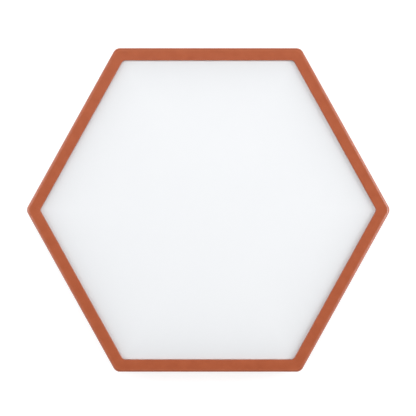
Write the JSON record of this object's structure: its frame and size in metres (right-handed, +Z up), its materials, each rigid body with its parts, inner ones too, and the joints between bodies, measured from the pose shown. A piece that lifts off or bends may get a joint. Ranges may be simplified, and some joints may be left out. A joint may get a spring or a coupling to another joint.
{
  "type": "practice pad",
  "caption": "Hexagonal tabletop drum practice pad: a white playing surface floating on foam inside a raised rim, with rubber feet and a stand thread underneath.",
  "frame": {"origin": "on the table, under the middle of the pad", "axes": "+Z up out of the playing surface, +X to the player's right along the long corner-to-corner width, +Y away from the player through a flat side"},
  "size_m": [0.3426, 0.3062, 0.036],
  "materials": {
    "rim_plastic": "fine-grained terracotta moulding, satin, a little lighter where the outer edge is rounded",
    "playing_silicone": "smooth matt white silicone, slightly crowned",
    "hardboard": "tempered brown hardboard, smooth",
    "foam": "dark grey fine-celled foam",
    "fibreboard": "raw medium-density fibreboard",
    "base_plastic": "spark-textured charcoal moulding",
    "insert_brass": "turned brass, lightly tarnished",
    "screw_steel": "bright zinc-plated steel",
    "foot_rubber": "matt black rubber with concentric grip ridges"
  },
  "bodies": {
    "pad_frame": {"rim_frame": "rim_plastic", "edge_gasket": "foam", "core_board": "fibreboard", "base_cover": "base_plastic", "stand_insert": "insert_brass", "insert_screws": "screw_steel", "rim_screws": "screw_steel", "foot_screws": "screw_steel", "foot_washers": "screw_steel", "foam_puck_centre": "foam", "foam_puck_1": "foam", "foam_puck_2": "foam", "foam_puck_3": "foam", "foam_puck_4": "foam", "foam_puck_5": "foam", "foam_puck_6": "foam", "foot_1": "foot_rubber", "foot_2": "foot_rubber", "foot_3": "foot_rubber", "foot_4": "foot_rubber", "foot_5": "foot_rubber", "foot_6": "foot_rubber"},
    "playing_head": {"playing_surface": "playing_silicone", "carrier_plate": "hardboard"}
  },
  "joints": [
    {"name": "surface_press", "type": "slide", "parent": "pad_frame", "child": "playing_head", "axis": [0, 0, 1], "range_m": [-0.0015, 0], "stiffness_N_per_m": 50000, "springref_m": 0.0005, "deforming": ["foam_puck_centre", "foam_puck_1", "foam_puck_2", "foam_puck_3", "foam_puck_4", "foam_puck_5", "foam_puck_6"]}
  ]
}
